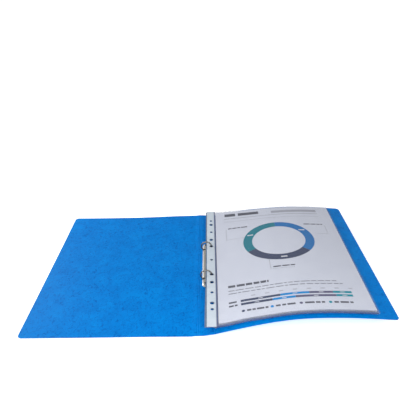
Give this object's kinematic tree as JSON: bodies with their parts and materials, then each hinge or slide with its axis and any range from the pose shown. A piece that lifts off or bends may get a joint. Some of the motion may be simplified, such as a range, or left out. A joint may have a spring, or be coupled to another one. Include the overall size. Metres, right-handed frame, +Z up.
{
  "type": "two-ring binder",
  "caption": "A4 two-ring binder in folded pressboard, open flat, with its ring mechanism and a stack of punched pockets holding sheets.",
  "frame": {"origin": "on the table under the middle of the spine", "axes": "+X across the spine towards the back cover, +Y along the spine towards the head of the page, +Z up out of the open binder"},
  "size_m": [0.509, 0.32, 0.036],
  "materials": {
    "front_board": "satin",
    "spine_board": "satin",
    "back_board": "satin",
    "housing_nickel": "satin",
    "plate_nickel": "satin",
    "ring_nickel": "gloss",
    "rivet_nickel": "gloss",
    "strip_film": "satin",
    "pocket_film": "gloss",
    "paper": "matte",
    "printed_paper": "matte"
  },
  "bodies": {
    "spine": {"spine_panel": "spine_board", "ring_housing": "housing_nickel", "foot_rivet": "rivet_nickel", "head_rivet": "rivet_nickel"},
    "front": {"front_cover": "front_board"},
    "back": {"back_cover": "back_board"},
    "left_rings": {"left_hinge_plate": "plate_nickel", "foot_ring_left": "ring_nickel", "head_ring_left": "ring_nickel"},
    "right_rings": {"right_hinge_plate": "plate_nickel", "foot_ring_right": "ring_nickel", "head_ring_right": "ring_nickel"},
    "pages": {"strip_1": "strip_film", "strip_2": "strip_film", "strip_3": "strip_film", "strip_4": "strip_film", "strip_5": "strip_film", "pocket_1": "pocket_film", "pocket_2": "pocket_film", "pocket_3": "pocket_film", "pocket_4": "pocket_film", "pocket_5": "pocket_film", "sheet_1": "paper", "sheet_2": "paper", "sheet_3": "paper", "sheet_4": "paper", "sheet_5": "printed_paper"}
  },
  "joints": [
    {"name": "front_cover_fold", "type": "hinge", "parent": "spine", "child": "front", "pos_m": [-0.0125, 0, 0.0016], "axis": [0, 1, 0], "range_deg": [0, 90]},
    {"name": "back_cover_fold", "type": "hinge", "parent": "spine", "child": "back", "pos_m": [0.0125, 0, 0.0016], "axis": [0, -1, 0], "range_deg": [-3, 80]},
    {"name": "pages_turn", "type": "hinge", "parent": "spine", "child": "pages", "pos_m": [0, 0, 0.0118], "axis": [0, -1, 0], "range_deg": [-3, 80]},
    {"name": "right_rings_open", "type": "hinge", "parent": "spine", "child": "right_rings", "pos_m": [0.00565, 0, 0.0029], "axis": [0, 1, 0], "range_deg": [0, 10]},
    {"name": "left_rings_open", "type": "hinge", "parent": "spine", "child": "left_rings", "pos_m": [-0.00565, 0, 0.0029], "axis": [0, -1, 0], "range_deg": [0, 10]}
  ],
  "couplings": [
    {"joint": "pages_turn", "follows": "back_cover_fold", "ratio": 1},
    {"joint": "left_rings_open", "follows": "right_rings_open", "ratio": 1}
  ]
}
